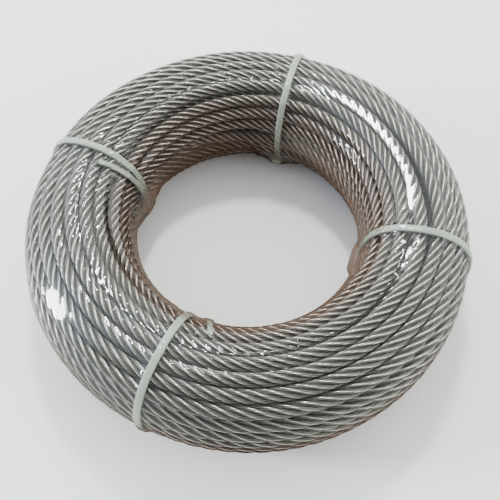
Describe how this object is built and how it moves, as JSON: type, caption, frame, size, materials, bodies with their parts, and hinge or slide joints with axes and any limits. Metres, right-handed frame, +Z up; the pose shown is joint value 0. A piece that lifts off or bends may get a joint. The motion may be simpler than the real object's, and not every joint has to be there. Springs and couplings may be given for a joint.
{
  "type": "coil of wire rope",
  "caption": "Ring-shaped coil of stranded steel wire rope, held by cable ties round its section and wrapped in clear film.",
  "frame": {"origin": "centre of the coil, on the level floor that it lies on", "axes": "+Z up along the coil's axis; -Y towards the side that the picture shows nearest; +X to the picture's right"},
  "size_m": [0.1656, 0.1654, 0.0471],
  "materials": {
    "wire_rope": "bright drawn wire, laid in strands",
    "cable_tie": "natural milky nylon",
    "film": "clear glossy wrapping film"
  },
  "bodies": {
    "root": {"rope_coil": "wire_rope", "cable_tie_back": "cable_tie", "cable_tie_left": "cable_tie", "cable_tie_front": "cable_tie", "cable_tie_right": "cable_tie", "film_wrap": "film"}
  },
  "joints": []
}
